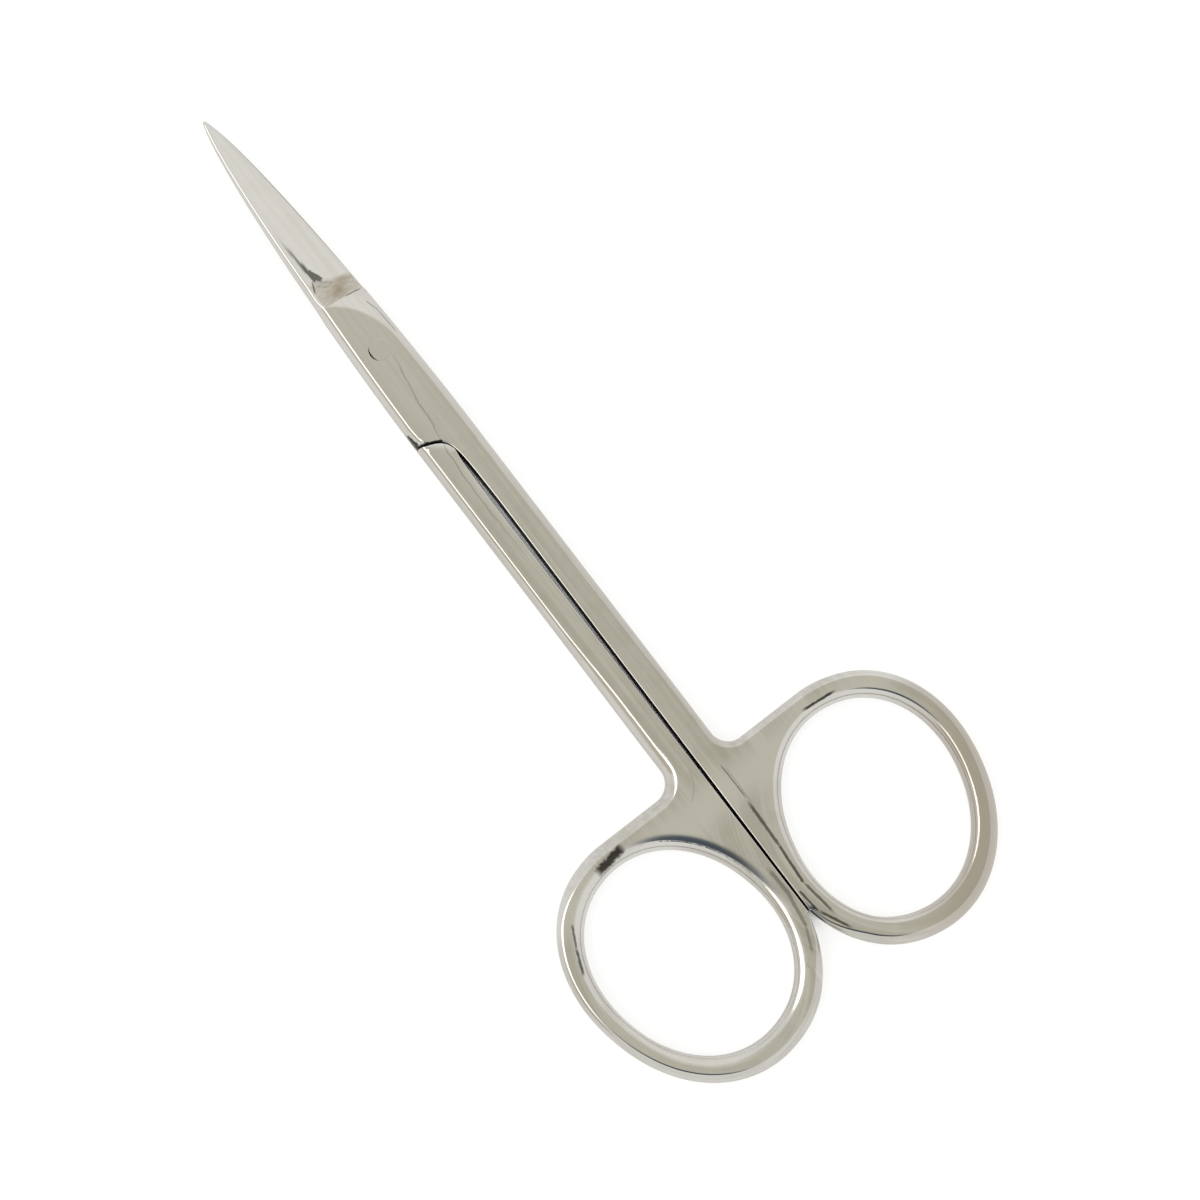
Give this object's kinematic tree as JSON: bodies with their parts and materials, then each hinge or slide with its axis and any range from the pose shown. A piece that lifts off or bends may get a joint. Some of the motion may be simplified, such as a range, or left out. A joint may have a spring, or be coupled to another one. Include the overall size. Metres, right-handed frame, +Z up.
{
  "type": "iris scissors",
  "caption": "Small straight surgical scissors with slender pointed blades, a flat lap joint held by a flush screw, and two oval finger rings.",
  "frame": {"origin": "middle of the closed scissors' length and width, on the surface that they lie on", "axes": "+X along the scissors from the tip to the finger rings, +Y towards the upper half's ring, +Z up through the thickness"},
  "size_m": [0.115, 0.0498, 0.0032],
  "materials": {
    "polished_steel": "fine satin to mirror polish",
    "screw_steel": "ground flush"
  },
  "bodies": {
    "lower": {"lower_half": "polished_steel"},
    "upper": {"upper_half": "polished_steel", "pivot_screw": "screw_steel"}
  },
  "joints": [
    {"name": "pivot", "type": "hinge", "parent": "lower", "child": "upper", "pos_m": [-0.0271, 0, 0.0016], "axis": [0, 0, 1], "range_deg": [0, 145]}
  ]
}
